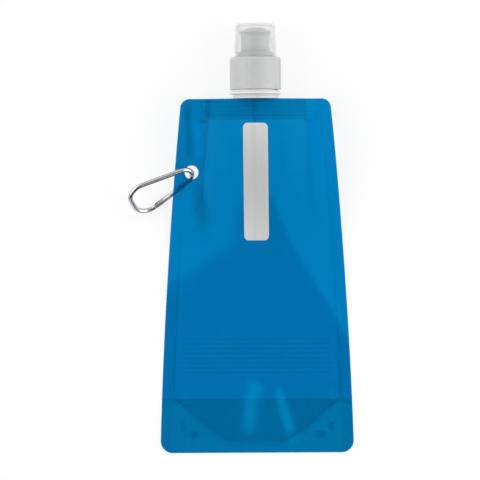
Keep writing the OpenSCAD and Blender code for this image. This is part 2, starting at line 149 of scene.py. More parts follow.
lower_rows = (
    [BOTTOM_ROUND * (1 - math.cos(math.radians(a))) for a in range(0, 90, 6)]
    + spaced(BOTTOM_ROUND, 43, 0.8)
    + spaced(43, 51, 0.32)
    + spaced(51, MEETING, 1)
    + [MEETING]
)
upper_rows = (
    spaced(MEETING, 99, 1)
    + spaced(99, 111, 0.4)
    + spaced(111, 204, 0.9)
    + spaced(204, FILM_TOP - TOP_ROUND, 0.3)
    + [FILM_TOP - TOP_ROUND + TOP_ROUND * math.sin(math.radians(a)) for a in range(0, 91, 6)]
)


def finish_piece(bm, name, material, sharp=40):
    """Closes a shape drawn in millimetres and gives it to the scene in metres."""
    bmesh.ops.remove_doubles(bm, verts=bm.verts, dist=1e-4)
    bmesh.ops.recalc_face_normals(bm, faces=bm.faces)
    bmesh.ops.scale(bm, vec=(0.001, 0.001, 0.001), verts=bm.verts)
    mesh = bpy.data.meshes.new(name)
    bm.to_mesh(mesh)
    bm.free()
    mesh.shade_smooth()
    mesh.set_sharp_from_angle(angle=math.radians(sharp))
    mesh.materials.append(material)
    piece = bpy.data.objects.new(name, mesh)
    bpy.context.scene.collection.objects.link(piece)
    return piece


CUT_LEFT, CUT_SIZE = 60, 240


def finish_film(bm, name, material):
    """Gives a film a UV map of where it lies on the flat cut, and finishes it."""
    flat = bm.loops.layers.uv.new("flat")
    for face in bm.faces:
        for loop in face.loops:
            loop[flat].uv = ((loop.vert.co.x + CUT_LEFT) / CUT_SIZE, loop.vert.co.y / CUT_SIZE)
    return finish_piece(bm, name, material)


def film_piece(name, rows, edge, height, depth, material, columns=110, hole=True):
    """A film over rows along Y: height is its upper side, and depth its thickness."""
    bm = bmesh.new()
    bmesh.ops.create_grid(bm, x_segments=columns, y_segments=len(rows) - 1, size=1)
    for v in bm.verts:
        y = rows[round((v.co.y + 1) / 2 * (len(rows) - 1))]
        v.co = (v.co.x * edge(y), y, 0)
    if hole and rows[0] < HOLE.y < rows[-1]:
        inside = [f for f in bm.faces if (f.calc_center_median().xy - HOLE).length < HOLE_R]
        bmesh.ops.delete(bm, geom=inside, context="FACES")
        for v in bm.verts:
            away = v.co.xy - HOLE
            if v.is_boundary and away.length < HOLE_R + 2:
                v.co.xy = HOLE + away.normalized() * HOLE_R
    for v in bm.verts:
        v.co.z = height(v.co.x, v.co.y)
    made = bmesh.ops.extrude_face_region(bm, geom=bm.faces[:], use_keep_orig=True)["geom"]
    bmesh.ops.translate(
        bm, vec=(0, 0, -depth), verts=[v for v in made if isinstance(v, bmesh.types.BMVert)]
    )
    return finish_film(bm, name, material)


class Socket:
    """An output of a shader node that takes part in arithmetic."""

    def __init__(self, shader, socket):
        self.shader, self.socket = shader, socket

    def math(self, operation, *values):
        return self.shader.node("ShaderNodeMath", {"operation": operation}, dict(enumerate(values)))

    def __add__(self, other):
        return self.math("ADD", self, other)

    def __sub__(self, other):
        return self.math("SUBTRACT", self, other)

    def __rsub__(self, other):
        return self.math("SUBTRACT", other, self)

    def __mul__(self, other):
        return self.math("MULTIPLY", self, other)

    def __truediv__(self, other):
        return self.math("DIVIDE", self, other)

    def __pow__(self, other):
        return self.math("POWER", self, other)

    def __abs__(self):
        return self.math("ABSOLUTE", self)

    __radd__, __rmul__ = __add__, __mul__


class Shader:
    """A material, or the room's light, and the nodes in it."""

    def __init__(self, name, kind=bpy.data.materials):
        self.made = kind.new(name)
        self.made.use_nodes = True
        self.tree = self.made.node_tree
        self.tree.nodes.clear()

    def node(self, kind, settings=None, sockets=None, output=0):
        """One node of any kind: its settings first, then the values or links of its sockets."""
        made = self.tree.nodes.new(kind)
        for key, value in (settings or {}).items():
            setattr(made, key, value)
        for key, value in (sockets or {}).items():
            if isinstance(value, Socket):
                self.tree.links.new(value.socket, made.inputs[key])
            else:
                made.inputs[key].default_value = value
        return Socket(self, made.outputs[output]) if made.outputs else None

    def step(self, value, low, high, start=0.0, end=1.0):
        """A smooth step of value from start, at low, to end, at high."""
        return self.node(
            "ShaderNodeMapRange",
            {"interpolation_type": "SMOOTHSTEP"},
            {"Value": value, "From Min": low, "From Max": high, "To Min": start, "To Max": end},
        )

    def mix(self, factor, a, b):
        """Colour a at factor 0 and colour b at factor 1."""
        return self.node("ShaderNodeMix", {"data_type": "RGBA"}, {0: factor, 6: a, 7: b}, 2)

    def noise(self, place, scale, detail=2.0, roughness=0.5):
        """Soft noise from 0 to 1."""
        sockets = {"Vector": place, "Scale": scale, "Detail": detail, "Roughness": roughness}
        return self.node("ShaderNodeTexNoise", None, sockets)

    def stretched(self, place, scale):
        """The same coordinates, scaled along each axis."""
        return self.node("ShaderNodeMapping", None, {"Vector": place, "Scale": scale})

    def bump(self, height, distance, strength=1.0):
        """A normal that follows fine relief."""
        return self.node(
            "ShaderNodeBump", None, {"Strength": strength, "Distance": distance, "Height": height}
        )

    def surface(self, shading, output="ShaderNodeOutputMaterial"):
        """Sends a closure to the output, and gives the material."""
        self.node(output, None, {"Surface": shading})
        return self.made


FILM_TONES = ((0.0, 0.56, 0.94, 1), (0.0, 0.26, 0.47, 1), (0.0, 0.10, 0.26, 1), (0.0, 0.04, 0.13, 1))
FILM_TINT = (0.03, 0.756, 0.93, 1)
FILM_BODY = 0.16


def film_shader(name, marks, tint=FILM_TINT, rim=0.8):
    """Clear blue film. Marks takes the shader, X and Y in millimetres on the flat film, and the distance
    from its side edge. It gives the tone of its marks, from -1, pale, over 0 to 2, dark, a shade that
    darkens the plain film between them, and how much of what is behind isn't seen. Rim adds to the last
    where the film is seen edge on."""
    s = Shader(name)
    uv = s.node("ShaderNodeUVMap", {"uv_map": "flat"})
    place = s.node(
        "ShaderNodeMapping",
        None,
        {"Vector": uv, "Location": (-CUT_LEFT, 0, 0), "Scale": (CUT_SIZE, CUT_SIZE, 1)},
    )
    x = s.node("ShaderNodeSeparateXYZ", None, {"Vector": place}, "X")
    y = s.node("ShaderNodeSeparateXYZ", None, {"Vector": place}, "Y")
    tone, shade, body = marks(s, x, y, plain_edge(y) - abs(x))
    cloud = s.noise(place, 0.022, 3.0, 0.45)
    grain = s.noise(place, 1.6, 2.0)
    strong = tone.math("MINIMUM", abs(tone), 1)
    # Painted shade from the marks darkens the plain film, but not pale marks.
    tone = tone + shade * s.step(tone, -0.3, 0) + (cloud - 0.5) * 0.5
    colour = FILM_TONES[0]
    for i in (1, 2, 3):
        colour = s.mix(s.step(tone, i - 2, i - 1), colour, FILM_TONES[i])
    body = body * (1 + strong * 1.25)
    edge_on = s.node("ShaderNodeLayerWeight", None, {"Blend": 0.5}, "Facing")
    cover = body + (1 - body) * s.step(edge_on, 0.5, 1.0, 0.0, rim)
    film = s.node(
        "ShaderNodeBsdfPrincipled",
        None,
        {
            "Base Color": colour,
            "Roughness": 0.18 + grain * 0.1,
            "Specular IOR Level": 0.1,
            "Normal": s.bump(s.noise(place, 0.07, 2.0), 0.0002, 0.3),
        },
    )
    clear = s.node("ShaderNodeBsdfTransparent", None, {"Color": tint})
    return s.surface(s.node("ShaderNodeMixShader", None, {0: cover, 1: clear, 2: film}))


RULED_LOW, RULED_HIGH, RULED_HALF, RULED_FIRST, RULED_STEP = 48.5, 70.5, 45.0, 49.5, 2.95


def back_marks(s, x, y, side):
    """Welded edges, and faint ruled lines on the lower part."""
    seam = s.step(side, SEAL - 0.4, SEAL + 0.4, 0.15, 0)
    line = (y - RULED_FIRST) / RULED_STEP
    ruled = s.step(abs(line - line.math("ROUND", line)), 0.05, 0.13, 1, 0)
    ruled = ruled * s.step(abs(x), RULED_HALF - 0.2, RULED_HALF + 0.2, 1, 0)
    ruled = ruled * s.step(y, RULED_LOW - 0.1, RULED_LOW + 0.1)
    ruled = ruled * s.step(y, RULED_HIGH - 0.1, RULED_HIGH + 0.1, 1, 0)
    return seam + ruled * 0.35, 0, FILM_BODY


def sheet_area(rows, edge):
    """Flat area of a film over its rows, in square metres."""
    return sum((b - a) * (edge(a) + edge(b)) for a, b in zip(rows, rows[1:])) * 1e-6


def hold_panel(piece, rows, upper, lower, fold, reach, rests_on, *nodes):
    """Bakes where a length of a panel lies into its mesh, and hides the CAD parts it stands in for."""
    2 * side_edge(max(rows[0], BOTTOM_ROUND)) * 0.001
    (rows[-1] - rows[0]) * 0.001
    sheet_area(rows, side_edge)
    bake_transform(piece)
    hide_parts(*nodes)


back_film = film_shader("blue film, back", back_marks)
back_top = film_piece("back_film_top", upper_rows, side_edge, back_height, FILM_T, back_film)
back_foot = film_piece("back_film_foot", lower_rows, side_edge, back_height, FILM_T, back_film)
hold_panel(
    back_top, upper_rows, "upper_pouch", "middle_pouch", HIGH_FOLD, HIGH_REACH, ["table"],
    "back_panel_upper", "back_panel_middle",
)
hold_panel(
    back_foot, lower_rows, "middle_pouch", "lower_pouch", LOW_FOLD, LOW_REACH, ["table"],
    "back_panel_lower",
)


# Bottom gusset. The same film folded in half, with its fold up, and laid between the panels. It is welded to
# them below a bow-shaped line. When the bottle is filled it opens, and the bottle stands on it.
GUSSET_TOP, LEAF_T, FOLD_R = 33.3, 0.14, 0.16
BOW_HALF, BOW_FLAT, BOW_LOW, BOW_POWER = 48.8, 15.0, 7.0, 1.35


def bow(x):
    """Height of the bow-shaped line under which the gusset is welded to the panels."""
    share = min(1.0, max(0.0, (abs(x) - BOW_FLAT) / (BOW_HALF - BOW_FLAT)))
    return between(share**BOW_POWER, BOW_LOW, GUSSET_TOP)


def bow_line(s, x):
    """The same line in a shader."""
    share = s.node(
        "ShaderNodeMapRange", None, {"Value": abs(x), "From Min": BOW_FLAT, "From Max": BOW_HALF}
    )
    return share**BOW_POWER * (GUSSET_TOP - BOW_LOW) + BOW_LOW


def pocket(x, y):
    """0 where the gusset is welded and 1 where it lies free in its pocket."""
    return ease((y - bow(x)) / 3) * ease((side_edge(max(y, BOTTOM_ROUND)) - abs(x) - SEAL) / 3)


def gusset_edge(y):
    """Half the width of the gusset, a hair inside the panels."""
    return side_edge(y) - 0.15


def gusset_marks(s, x, y, side):
    """A little clearer where it is welded to the panels."""
    free = s.step(y - bow_line(s, x), -0.4, 0.6) * s.step(side, SEAL - 0.4, SEAL + 0.4)
    fold = s.step(abs(y - GUSSET_TOP + 0.3), 0.2, 0.8, 0.08, 0) * s.step(side, SEAL - 0.4, SEAL + 2)
    return free * 0.1 + fold, 0, 0.005 + free * 0.01 + fold * 0.2


gusset_rows = (
    [0.05 + BOTTOM_ROUND * (1 - math.cos(math.radians(a))) for a in range(0, 90, 6)]
    + spaced(BOTTOM_ROUND + 0.05, GUSSET_TOP - FOLD_R, 0.8)
    + [GUSSET_TOP - FOLD_R]
)
up = [(y, 1.0) for y in gusset_rows]
over = [
    (GUSSET_TOP - FOLD_R * (1 - math.cos(math.radians(a))), math.sin(math.radians(a))) for a in (60, 30)
]
down = [(y, -share) for y, share in reversed(up + over)]
leaves = up + over + [(GUSSET_TOP, 0.0)] + down
bm = bmesh.new()
bmesh.ops.create_grid(bm, x_segments=90, y_segments=len(leaves) - 1, size=1)
for v in bm.verts:
    y, leaf = leaves[round((v.co.y + 1) / 2 * (len(leaves) - 1))]
    x, free = v.co.x * gusset_edge(y), pocket(v.co.x * gusset_edge(y), y)
    apart = FOLD_R + 0.13 * free * (1 - ease((y - GUSSET_TOP + 2) / 2))
    v.co = (x, y, between(free, 0.39, 0.58) + leaf * apart)
bmesh.ops.recalc_face_normals(bm, faces=bm.faces)
bmesh.ops.solidify(bm, geom=bm.faces[:], thickness=LEAF_T)
gusset_film = film_shader("blue film, gusset", gusset_marks, (0.95, 0.996, 0.999, 1), 0.05)
gusset = finish_film(bm, "gusset_film", gusset_film)
2 * sheet_area(gusset_rows, gusset_edge)
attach(gusset, "lower_pouch")
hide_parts("bottom_gusset")


# Front panel. The same film and outline as the back, sealed to it along the sides, wide round the punched
# hole, and welded to the boat at the top. It lies loose inside its seals, so it is a little wavy and pillows
# at their edges.
def along(x, y, start, end):
    """How far (0 to 1) a point is along a line, and its distance from it."""
    line, point = Vector(end) - Vector(start), Vector((x, y)) - Vector(start)
    share = min(1.0, max(0.0, point.dot(line) / line.length_squared))
    return share, (point - line * share).length


# Soft ridges and hollows of the loose film: start, end, width and height.
FOLD_MARKS = (
    ((-4, 36), (-6, 8), 6, 0.12),
    ((14, 40), (21.5, 9), 6, 0.13),
    ((-7, 126), (-40, 70), 9, 0.14),
    ((9, 128), (46, 70), 9, 0.16),
    ((-31, 200), (-27, 150), 4.5, 0.25),
    ((-27, 165), (-37, 128), 6, 0.3),
    ((33, 200), (37, 150), 3.5, 0.35),
    ((-20, 201), (-13, 166), 3.5, 0.28),
    ((21, 201), (16, 160), 3.5, 0.3),
    ((11, 158), (27, 116), 6, 0.4),
    ((-12, 150), (-27, 112), 6, 0.35),
    ((37, 172), (44, 118), 4.5, 0.4),
    ((-22, 190), (-20, 150), 4, -0.2),
    ((27, 190), (29, 140), 5, -0.25),
)


def front_height(x, y):
    """Upper side of the front panel."""
    up, side = rise(y), side_edge(y) - abs(x) - seal_width(x, y)
    loose = slack(x, y) * ease((y - bow(x)) / 5)
    pillow = between(ease((y - 108) / 25), 0.15, 0.8) * (1 - math.exp(-max(0.0, side) / 14))
    waves = between(up, 0.13, 0.3) * noise.noise(Vector((x / 26, y / 38, 3.1)))
    waves += 0.05 * noise.noise(Vector((x / 9, y / 17, 7.7)))
    for start, end, width, size in FOLD_MARKS:
        share, away = along(x, y, start, end)
        waves += size * math.exp(-((away / width) ** 2) * 2) * (0.35 + 0.65 * math.sin(math.pi * share))
    welded = between(up, -0.16, 0.21) + 0.32 * (1 - ease((y - 31) / 5))
    inside = between(up, 0.6, 0.25)
    lift = between(loose, welded, inside) + loose * (pillow + waves)
    if abs(x) < BOAT_HALF_W:
        lift = between(ease((y - 202) / 4), lift, 0.25)
    return middle(y) + lift + spread(x, y) - rib_mark(x, y)


def streak(s, x, y, start, end, width):
    """1 on a line from start to end, fading out over its width."""
    (x0, y0), (x1, y1) = start, end
    long = math.hypot(x1 - x0, y1 - y0)
    way_x, way_y = (x1 - x0) / long, (y1 - y0) / long
    far = abs((x - x0) * way_y - (y - y0) * way_x)
    on = (x - x0) * way_x + (y - y0) * way_y
    ends = s.step(on, -width, width) * s.step(on, long - width, long + width, 1, 0)
    return s.step(far, 0, width, 1, 0) * ends


def spot(s, x, y, centre, size):
    """1 in an upright oval on each side of the middle, with a soft edge."""
    across, up = (abs(x) - centre[0]) / size[0], (y - centre[1]) / size[1]
    return s.step(across * across + up * up, 0.3, 1.8, 1, 0)


# Streaks on the film: start, end, width and tone. Many are painted light and shade, noted line by line.
# Then small dark spots on both sides: centre and size.
LINES_AND_PAINTED_LIGHT = (
    ((-0.9, 202), (-0.9, 219), 1.9, 0.45),
    # Painted shade: along a crease, over the dark crescent where the film bends by the hole, and the hook
    # leg's blurred shadow under the film.
    ((-29.7, 204), (-29.2, 177), 2.2, 0.2),
    ((-34, 163), (-32.5, 137), 9, 0.75),
    ((-50, 160.5), (-41.5, 167.5), 4.5, 0.35),
    # A painted dark reflection and a painted highlight where the film bends at the inner edge of the wide
    # seal above the hole.
    ((-42, 214), (-40.5, 182), 3.2, 0.4),
    ((-36, 203), (-34.5, 182), 3.5, -0.5),
    # Painted highlights where the cut top edge catches the light, and painted shadow along it under the
    # collar.
    ((-24, 217.2), (-16, 217.2), 0.9, -0.6),
    ((12, 217.2), (22, 217.2), 0.9, -0.6),
    ((-13, 217.7), (9, 217.7), 0.8, 0.5),
    ((37, 219), (37.5, 204), 1.0, 0.3),
    # Painted shade along a crease.
    ((32, 190), (34, 150), 4, 0.3),
    # Painted highlights where the low wrinkles over the gusset catch the light.
    ((-3.5, 38), (-6, 10), 9.5, -0.36),
    ((13.5, 41), (15, 31), 5, -0.25),
    ((15, 32), (21.5, 10), 7, -0.42),
    ((5, 34), (7, 12), 15, -0.12),
    ((-7, 46), (4, 38), 7, -0.2),
    ((-51, 33.4), (-44.5, 28.4), 1.6, 0.45),
    ((51, 33.4), (45, 28.4), 1.6, 0.45),
    ((-43, 40), (-45, 33), 3.5, -0.17),
    ((43, 38), (48, 34), 2.8, -0.2),
)
SPOTS = (((46, 16.4), (1.5, 2.4)), ((39, 11.4), (2.9, 2.0)), ((32, 204.3), (3.2, 1.2)))


def front_marks(s, x, y, side):
    """Seal lines, welded top, gusset's pocket, and painted light: shade in rib grooves and a V zone, streaks
    of shade and highlight.
    """
    left = s.step(x, -1, 1, 1, 0)
    reach = SEAL + s.step(y, SEAL_WIDENS, SEAL_WIDE, 0, HOLE_SEAL - SEAL) * left
    tone = s.step(abs(side - reach), 0.1, 1.2, 0.22, 0) * s.step(y, 34, 36)
    tone = tone + s.step(side - reach, -0.6, 0.6, 0.5, 0) * left * s.step(y, 150, 175)
    line = bow_line(s, x)
    below_fold = s.step(y, GUSSET_TOP - 1.6, GUSSET_TOP + 1.2, 1, 0)
    tone = tone + s.step(y - line, -0.5, 0.5) * s.step(side, SEAL - 0.4, SEAL + 0.4) * below_fold * 0.09
    tone = tone + s.step(abs(y - line), 0.1, 1.1, 0.25, 0) * below_fold
    tone = tone - s.step(line - y, -0.5, 4) * 0.16
    # Painted shade over a V-shaped zone of the lower film, where its reflection is dimmer. Its edges wander.
    wander = (s.noise(s.node("ShaderNodeCombineXYZ", None, {"X": x, "Y": y}), 0.05, 2.0) - 0.5) * 20
    v_left = y.math("MAXIMUM", 131 - y, 0) * 1.45 + 7.7 + wander
    v_right = (y.math("MAXIMUM", 165 - y, 0) / 75) ** 1.2 * 37.8 + 7 + wander * 0.3
    painted_v_shade = s.step(x + v_left, -17, 14) * s.step(v_right - x, -3, 4) * s.step(y, 152, 166, 1, 0)
    welded = s.step(y, BOAT_Y - 0.7, BOAT_Y + 0.3)
    boat = welded * s.step(abs(x), 31, 34, 1, 0)
    # Painted shade in the grooves between the boat's ribs, seen through the film.
    rib_groove_shade = (y - BOAT_Y - FIRST_VALLEY) / RIB_PITCH
    rib_groove_shade = s.step(abs(rib_groove_shade - rib_groove_shade.math("ROUND", rib_groove_shade)), 0.05, 0.35, 0.2, 0)
    tone = tone + welded * 0.1 + boat * (0.28 + rib_groove_shade)
    for centre, size in SPOTS:
        tone = tone + spot(s, x, y, centre, size) * 0.5
    for start, end, width, depth in LINES_AND_PAINTED_LIGHT:
        tone = tone + streak(s, x, y, start, end, width) * depth
    return tone, painted_v_shade * 1.6, FILM_BODY - boat * 0.08


front_film = film_shader("blue film, front", front_marks)
front_top = film_piece("front_film_top", upper_rows, side_edge, front_height, FILM_T, front_film)
front_foot = film_piece("front_film_foot", lower_rows, side_edge, front_height, FILM_T, front_film)
hold_panel(
    front_top, upper_rows, "upper_pouch", "middle_pouch", HIGH_FOLD, HIGH_REACH, ["back_film_top"],
    "front_panel_upper", "front_panel_middle",
)
hold_panel(
    front_foot, lower_rows, "middle_pouch", "lower_pouch", LOW_FOLD, LOW_REACH, ["back_film_foot"],
    "front_panel_lower",
)


# Silver strip. A satin grey strip of film with rounded corners. It is bonded to the front panel by hand, a
# little askew.
STRIP_LOW, STRIP_MID, STRIP_HIGH, STRIP_HALF, STRIP_ROUND = 131.0, 167.0, 203.0, 7.6, 2.8
STRIP_T, STRIP_LIFT, STRIP_LEAN = 0.16, 0.22, 0.008


def strip_edge(y):
    """Half the width of the strip, with its rounded corners."""
    over = max(0.0, STRIP_ROUND - min(y - STRIP_LOW, STRIP_HIGH - y))
    return STRIP_HALF - STRIP_ROUND + math.sqrt(max(0.0, STRIP_ROUND**2 - over**2))


def strip_height(x, y):
    """Upper side of the strip, which follows the front panel where it will lie when it leans."""
    return front_height(x + STRIP_LEAN * (STRIP_MID - y), y) + STRIP_LIFT


corner = [STRIP_ROUND * (1 - math.cos(math.radians(a))) for a in range(0, 90, 6)]
strip_rows = (
    [STRIP_LOW + d for d in corner]
    + spaced(STRIP_LOW + STRIP_ROUND, STRIP_HIGH - STRIP_ROUND, 0.9)
    + [STRIP_HIGH - d for d in reversed([*corner, STRIP_ROUND])]
)
s = Shader("satin silver strip")
place = s.node("ShaderNodeTexCoord", None, None, "Object")
streaks = s.noise(s.stretched(place, (900, 12, 12)), 1.0, 3.0, 0.6)
bands = s.noise(s.stretched(place, (160, 3, 3)), 1.0, 1.0)
speck = s.noise(place, 4200, 2.0)
tone = s.mix(
    s.step(bands * 0.6 + streaks * 0.4, 0.34, 0.66), (0.595, 0.605, 0.60, 1), (0.635, 0.645, 0.64, 1)
)
satin = s.node(
    "ShaderNodeBsdfPrincipled",
    None,
    {
        "Base Color": tone,
        "Metallic": 0.15,
        "Roughness": 0.36 + streaks * 0.14,
        "Normal": s.bump(streaks + speck * 0.3, 0.00003, 0.5),
    },
)
strip = film_piece(
    "silver_strip_face", strip_rows, strip_edge, strip_height, STRIP_T, s.surface(satin), 24, False
)
lean = Matrix.Identity(4)
lean[0][1] = -STRIP_LEAN
lean[0][3] = STRIP_LEAN * STRIP_MID * 0.001
strip.data.transform(lean)
sheet_area(strip_rows, strip_edge)
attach(strip, "upper_pouch")
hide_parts("silver_strip")


# Spout. One moulding of white polyethylene: a ribbed boat that the panels are welded to, a collar, a flange
# with a split ring for the cap to stop at, and a neck with a three-start thread. A bore runs right through.
AXIS = Vector((0, 0, AXIS_H))
BOAT_H, BOAT_LAYERS, RIB_DEPTH, BOAT_BORE = 12.5, 9, 0.4, 7
WEB_SIZE, WEB_PLACE = (1.3, 14, 17.7), (-0.6, 210.6, AXIS_H)
FOOT_R, COLLAR_R, FLANGE_R, RING_SEAT_R, RING_R = 8.5, 14, 16, 14.4, 15
FOOT_Y, COLLAR_Y, FLANGE_Y, FLANGE_TOP, RING_TOP = 217, 218.05, 220.7, 222.2, 223.5
RING_FROM, RING_SPLIT = -27, 12
NECK_R, NECK_BORE, NECK_FOOT, NECK_TOP = 12.6, 10.5, 219, 240.2
NECK_THREAD_Y, THREAD_H, THREAD_ARC, THREAD_RISE, THREAD_STEPS, STARTS = 226.6, 1.09, 300, 7.5, 60, 3


def turn(bm, outline, steps=96):
    """Turns a closed outline of (radius, Y) points round the spout's axis."""
    verts = [bm.verts.new((r, y, AXIS.z)) for r, y in outline]
    edges = [bm.edges.new((a, b)) for a, b in zip(verts, verts[1:] + verts[:1])]
    bmesh.ops.spin(
        bm, geom=verts + edges, cent=AXIS, axis=(0, 1, 0), angle=2 * math.pi, steps=steps, use_merge=True
    )
    bmesh.ops.remove_doubles(bm, verts=bm.verts, dist=1e-4)


def round_edges(bm, size, angle=40):
    """Rounds the edges that are sharper than an angle."""
    bmesh.ops.recalc_face_normals(bm, faces=bm.faces)
    sharp = [e for e in bm.edges if len(e.link_faces) == 2 and e.calc_face_angle() > math.radians(angle)]
    bmesh.ops.bevel(
        bm, geom=sharp, offset=size, offset_type="OFFSET", segments=3, profile=0.5,
        affect="EDGES", clamp_overlap=True, material=-1,
    )


def thread(bm, radius, height, y, start):
    """One thread ridge, whose foot is sunk into its wall."""
    foot = radius - math.copysign(0.3, height)
    outline = [(foot, -0.84), (radius + height, -0.5), (radius + height, 0.5), (foot, 0.84)]
    verts = [bm.verts.new((r, y + h, AXIS.z)) for r, h in outline]
    face = bm.faces.new(verts)
    bmesh.ops.rotate(bm, cent=AXIS, matrix=Matrix.Rotation(math.radians(start), 3, "Y"), verts=verts)
    bmesh.ops.spin(
        bm, geom=[face], cent=AXIS, axis=(0, 1, 0), angle=math.radians(THREAD_ARC), steps=THREAD_STEPS,
        dvec=(0, THREAD_RISE / THREAD_STEPS, 0),
    )


def plastic(name, colour, shade, rough, through=0.0, scale=350):
    """Moulded plastic: a fine matt grain, slow flow marks and a little light let through."""
    s = Shader(name)
    place = s.node("ShaderNodeTexCoord", None, None, "Object")
    grain = s.noise(place, 5200, 2.0)
    flow = s.noise(place, scale, 3.0)
    tone = s.mix(s.step(flow, 0.3, 0.7), colour, shade)
    body = s.node(
        "ShaderNodeBsdfPrincipled",
        None,
        {
            "Base Color": tone,
            "Roughness": rough + (flow - 0.5) * 0.1,
            "Subsurface Weight": through,
            "Subsurface Radius": (0.002, 0.002, 0.002),
            "Subsurface Scale": 1.0,
            "Normal": s.bump(grain * 0.6 + flow, 0.00003, 0.35),
        },
    )
    return s.surface(body)


spout_white = plastic("white spout plastic", (0.70, 0.705, 0.70, 1), (0.67, 0.675, 0.67, 1), 0.36, 0.3)
bm = bmesh.new()
turn(bm, [
    (BOAT_BORE, FOOT_Y), (FOOT_R, FOOT_Y), (FOOT_R, COLLAR_Y), (COLLAR_R, COLLAR_Y), (COLLAR_R, FLANGE_Y),
    (FLANGE_R, FLANGE_Y), (FLANGE_R, FLANGE_TOP), (RING_SEAT_R, FLANGE_TOP), (RING_SEAT_R, RING_TOP - 0.1),
    (NECK_R, RING_TOP - 0.1), (NECK_R, NECK_TOP), (NECK_BORE, NECK_TOP), (NECK_BORE, NECK_FOOT),
    (BOAT_BORE, NECK_FOOT),
])
round_edges(bm, 0.3)
ring_outline = (
    (NECK_R - 0.3, FLANGE_TOP - 0.2), (RING_R, FLANGE_TOP - 0.2), (RING_R, RING_TOP - 0.15),
    (RING_R - 0.15, RING_TOP), (NECK_R - 0.3, RING_TOP),
)
ring_end = [bm.verts.new((r, y, AXIS.z)) for r, y in ring_outline]
ring_face = bm.faces.new(ring_end)
bmesh.ops.rotate(bm, cent=AXIS, matrix=Matrix.Rotation(math.radians(RING_FROM), 3, "Y"), verts=ring_end)
bmesh.ops.spin(
    bm, geom=[ring_face], cent=AXIS, axis=(0, 1, 0), angle=math.radians(360 - RING_SPLIT), steps=88
)
for i in range(STARTS):
    thread(bm, NECK_R, THREAD_H, NECK_THREAD_Y, 360 / STARTS * i)
layer_h = BOAT_H / BOAT_LAYERS
for i in range(BOAT_LAYERS):
    inset = 0.0 if i % 2 == 0 else RIB_DEPTH
    layer = bmesh.ops.create_grid(bm, x_segments=48, y_segments=1, size=1)["verts"]
    for v in layer:
        x = v.co.x * (BOAT_HALF_W - inset)
        half = max(0.05, boat_half(x) - inset)
        v.co = (x, BOAT_Y + layer_h * i, AXIS.z + math.copysign(half, v.co.y))
    faces = list({f for v in layer for f in v.link_faces})
    raised = bmesh.ops.extrude_face_region(bm, geom=faces, use_keep_orig=True)["geom"]
    raised = [v for v in raised if isinstance(v, bmesh.types.BMVert)]
    bmesh.ops.translate(bm, vec=(0, layer_h, 0), verts=raised)
web = bmesh.ops.create_cube(bm, size=1)["verts"]
bmesh.ops.scale(bm, vec=WEB_SIZE, verts=web)
bmesh.ops.translate(bm, vec=WEB_PLACE, verts=web)
spout = finish_piece(bm, "spout_moulding", spout_white, 35)
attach(spout, "upper_pouch")
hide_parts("spout")


# Cap liner. A soft ring of foamed plastic that seals the neck's rim against the cap's deck. It is punched
# from sheet, lies hidden in the cap, and stays as the CAD has it.
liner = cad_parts["cap_liner"]
liner.data.materials.clear()
liner.data.materials.append(
    plastic("foam liner", (0.80, 0.80, 0.77, 1), (0.70, 0.70, 0.67, 1), 0.6, 0.0, 900)
)


# Screw cap. Moulded polypropylene: a skirt with sixty fine ribs, one groove and an inside thread, a deck
# with the seat of the clear cover, and a tube with a pin on three webs, on which the nozzle slides.
CAP_LOW, DECK, CAP_TOP, SEAT_TOP, TUBE_TOP = 223.6, 241.55, 243.55, 246.65, 255.05
SKIRT_R, CAP_BORE, SEAT_R, WELL_R, TUBE_R, TUBE_BORE = 15.75, 14.1, 12, 9.2, 6.8, 5.3
GRIP_RIBS, GRIP_DEPTH = 60, 0.1
GROOVE_AT, GROOVE_HALF, GROOVE_DEPTH = math.radians(17.5), math.radians(3.6), 0.5
PIN_R, PIN_L, PIN_Y, PIN_WEB_Y, PIN_WEB = 2.1, 12.8, 251.95, 252.05, (5.6, 4, 1.2)
CAP_THREAD_Y = 228.1
cap_white = plastic("white cap plastic", (0.495, 0.50, 0.50, 1), (0.475, 0.48, 0.48, 1), 0.34)
bm = bmesh.new()
turn(bm, [
    (CAP_BORE, CAP_LOW), (SKIRT_R, CAP_LOW), (SKIRT_R, 224.4), (SKIRT_R, 240.9), (SKIRT_R, 241.8),
    (15.45, 242.7), (14.9, 243.25), (14.05, CAP_TOP), (SEAT_R, CAP_TOP), (SEAT_R, SEAT_TOP),
    (WELL_R, SEAT_TOP), (WELL_R, CAP_TOP), (TUBE_R, CAP_TOP), (TUBE_R, 252.6), (7.3, 253.1), (7.3, 253.6),
    (TUBE_R, 254.1), (TUBE_R, TUBE_TOP), (TUBE_BORE, TUBE_TOP), (TUBE_BORE, DECK), (CAP_BORE, DECK),
], 360)
round_edges(bm, 0.3, 60)
for v in bm.verts:
    out = Vector((v.co.x, 0, v.co.z - AXIS.z))
    if out.length > 15.6 and 224 < v.co.y < 241.2:
        angle = math.atan2(out.z, out.x)
        dip = GRIP_DEPTH * (0.5 - 0.5 * math.cos(GRIP_RIBS * angle)) ** 0.7
        if abs(angle - GROOVE_AT) < GROOVE_HALF:
            dip = GROOVE_DEPTH
        v.co -= out.normalized() * dip
for i in range(STARTS):
    thread(bm, CAP_BORE, -THREAD_H, CAP_THREAD_Y, 360 / STARTS * i)
pin = bmesh.ops.create_cone(
    bm, cap_ends=True, segments=40, radius1=PIN_R, radius2=PIN_R, depth=PIN_L
)["verts"]
upright = Matrix.Rotation(math.radians(90), 4, "X")
bmesh.ops.transform(bm, matrix=Matrix.Translation((0, PIN_Y, AXIS.z)) @ upright, verts=pin)
